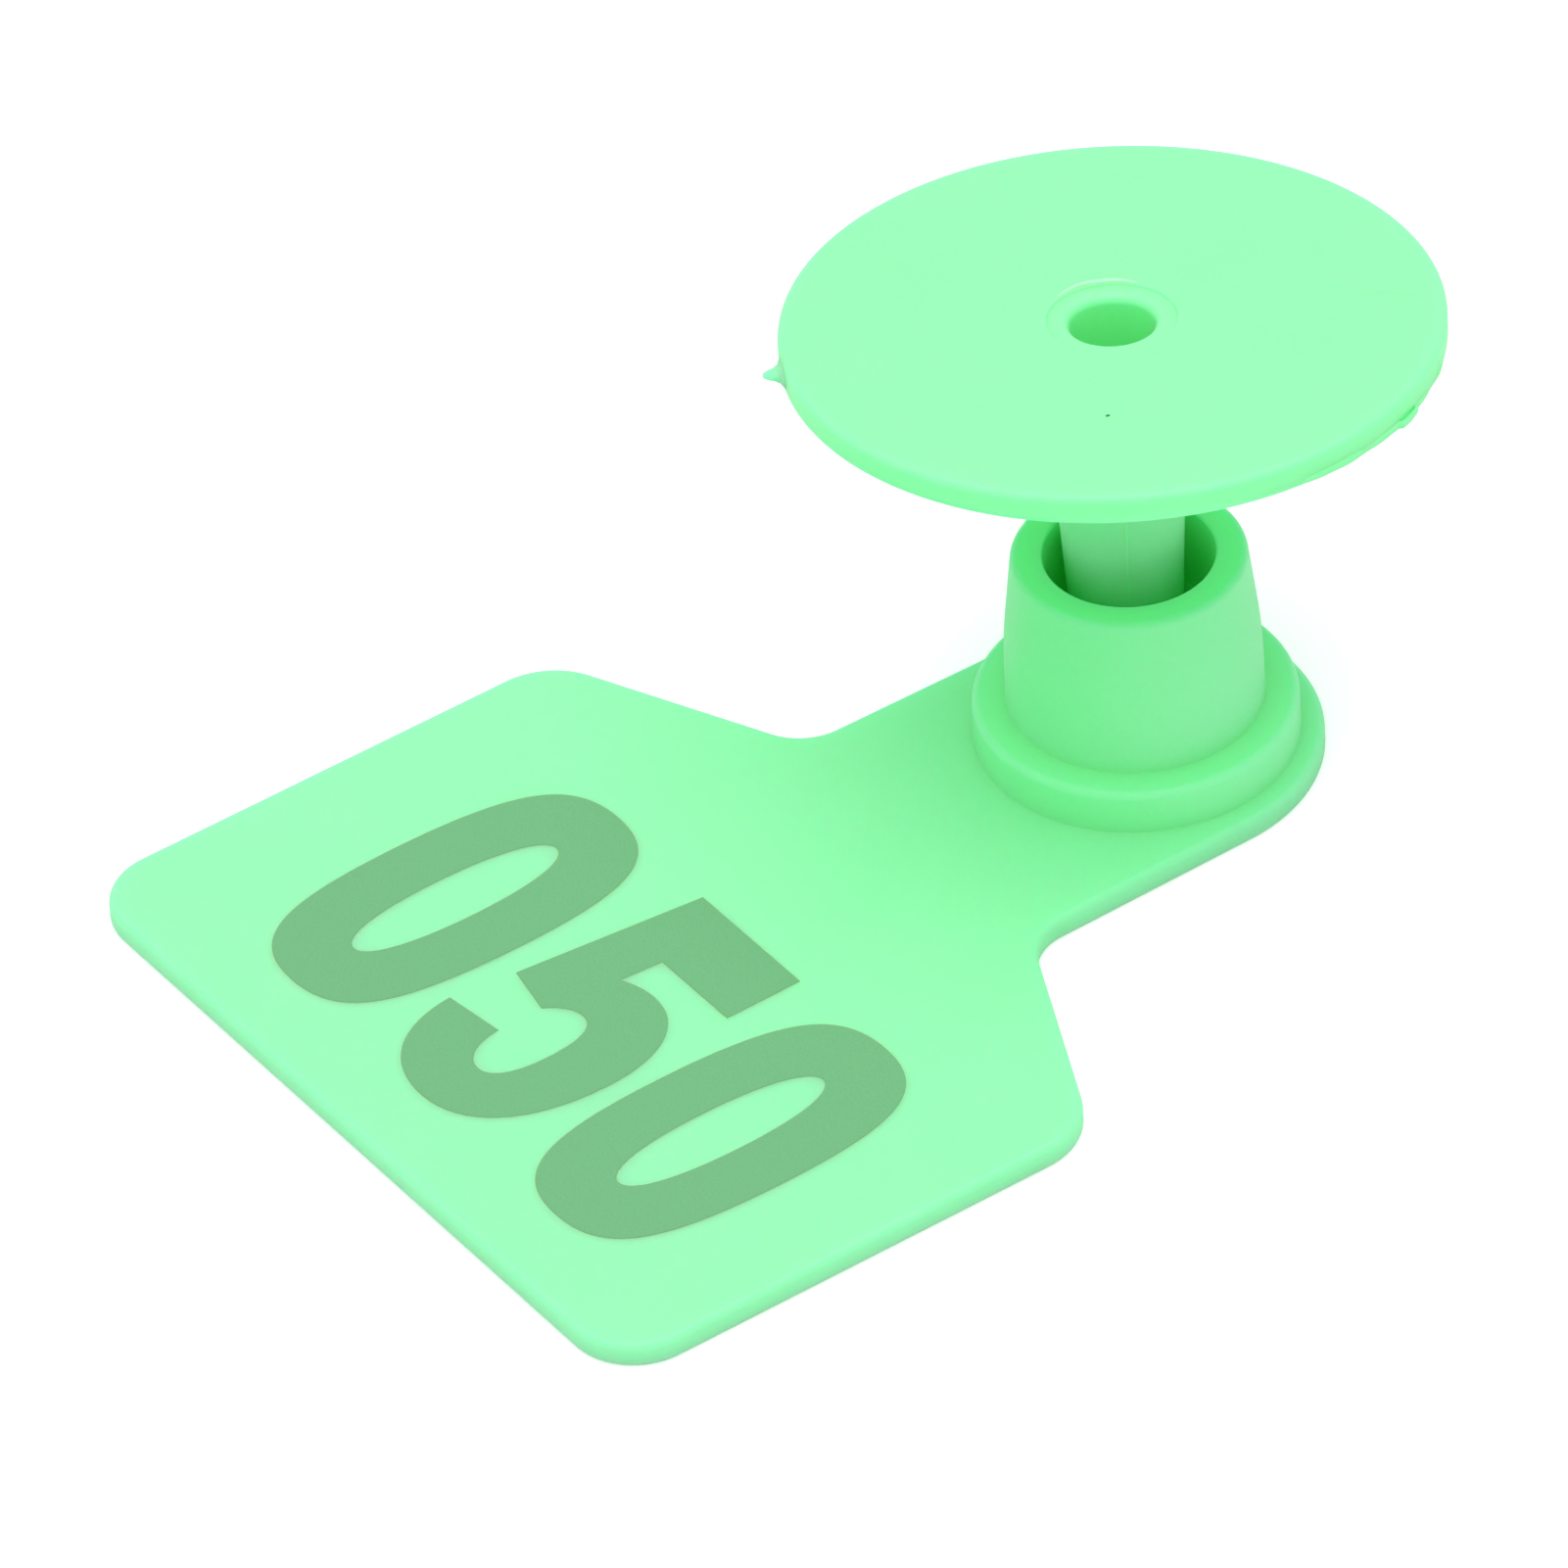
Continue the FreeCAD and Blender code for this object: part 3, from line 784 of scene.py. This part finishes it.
numberShape = {
    "zeroCentres": (-9.60, 10.98),   # mm, left and right
    "zeroMiddle": -31.0,
    "zeroHalfWidth": 4.56,
    "zeroHalfHeight": 8.93,
    "counterHalfWidth": 1.50,
    "counterHalfHeight": 5.60,
    "zeroFullness": 0.745,           # how square the ovals are
    "counterFullness": 0.62,
    "print": 0.012,                  # how far the mark stands on the panel
    "edge": 0.05,                    # the scorched line round each figure
}


def ovalSpline(curve, x, y, halfWidth, halfHeight, fullness):
    spline = curve.splines.new("BEZIER")
    spline.bezier_points.add(3)
    across, along = halfWidth * fullness, halfHeight * fullness
    spots = (((halfWidth, 0), (0, -along), (0, along)), ((0, halfHeight), (across, 0), (-across, 0)),
             ((-halfWidth, 0), (0, along), (0, -along)), ((0, -halfHeight), (-across, 0), (across, 0)))
    for knot, (spot, left, right) in zip(spline.bezier_points, spots):
        knot.co = Vector((x + spot[0], y + spot[1], 0)) * mm
        knot.handle_left = Vector((x + spot[0] + left[0], y + spot[1] + left[1], 0)) * mm
        knot.handle_right = Vector((x + spot[0] + right[0], y + spot[1] + right[1], 0)) * mm
    spline.use_cyclic_u = True
    spline.resolution_u = 24


def fiveSpline(curve):
    # knots of the five: place, handle in, handle out; a missing handle is a straight run
    knots = (
        ((-2.60, -22.34), None, None), ((4.80, -22.34), None, None), ((4.84, -26.28), None, None),
        ((-0.14, -26.28), None, None), ((-0.32, -28.58), None, (0.25, -28.28)),
        ((1.70, -28.06), (0.90, -28.06), (3.95, -28.06)), ((5.30, -33.20), (5.30, -30.20), (5.30, -37.30)),
        ((0.62, -39.92), (3.50, -39.92), (-2.20, -39.92)), ((-4.04, -35.20), (-3.80, -38.10), None),
        ((-0.90, -34.80), None, (-0.78, -36.20)), ((0.66, -37.00), (-0.10, -37.00), (1.60, -37.00)),
        ((2.08, -34.10), (2.08, -35.90), (2.08, -32.20)), ((0.72, -31.20), (1.60, -31.20), (0.00, -31.20)),
        ((-0.90, -32.34), (-0.60, -31.80), None), ((-3.58, -31.82), None, None),
    )
    spline = curve.splines.new("BEZIER")
    spline.bezier_points.add(len(knots) - 1)
    for i, (knot, (spot, into, out)) in enumerate(zip(spline.bezier_points, knots)):
        before, after = Vector(knots[i - 1][0]), Vector(knots[(i + 1) % len(knots)][0])
        here = Vector(spot)
        knot.co = (here * mm).to_3d()
        knot.handle_left_type = knot.handle_right_type = "FREE"
        knot.handle_left = ((Vector(into) if into else here.lerp(before, 1 / 3)) * mm).to_3d()
        knot.handle_right = ((Vector(out) if out else here.lerp(after, 1 / 3)) * mm).to_3d()
    spline.use_cyclic_u = True
    spline.resolution_u = 16


def makeFigures(n):
    top = tagShape["thickness"]
    for layer, grow, height, material in (("Edge", n["edge"], 0.5 * n["print"], "scorchedEdge"),
                                          ("Mark", 0.0, n["print"], "markedPlastic")):
        for figure in ("zeroLeft", "five", "zeroRight"):
            curve = bpy.data.curves.new(figure + layer, "CURVE")
            curve.dimensions = "2D"
            curve.fill_mode = "BOTH"
            curve.offset = grow * mm
            if figure == "five":
                fiveSpline(curve)
            else:
                x = n["zeroCentres"][0 if figure == "zeroLeft" else 1]
                ovalSpline(curve, x, n["zeroMiddle"], n["zeroHalfWidth"], n["zeroHalfHeight"],
                           n["zeroFullness"])
                ovalSpline(curve, x, n["zeroMiddle"], n["counterHalfWidth"], n["counterHalfHeight"],
                           n["counterFullness"])
            drawn = bpy.data.objects.new("drawn", curve)
            bpy.context.scene.collection.objects.link(drawn)
            bpy.context.view_layer.update()
            mesh = bpy.data.meshes.new_from_object(drawn.evaluated_get(bpy.context.evaluated_depsgraph_get()))
            bpy.data.objects.remove(drawn)
            mesh.name = figure + layer
            mesh.materials.clear()
            mesh.materials.append(plastics[material])
            mesh.transform(Matrix.Translation((0, 0, (top + height) * mm)))
            piece = bpy.data.objects.new(figure + layer, mesh)
            bpy.context.scene.collection.objects.link(piece)
            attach(piece, "tag")


makeFigures(numberShape)
print("number marked")
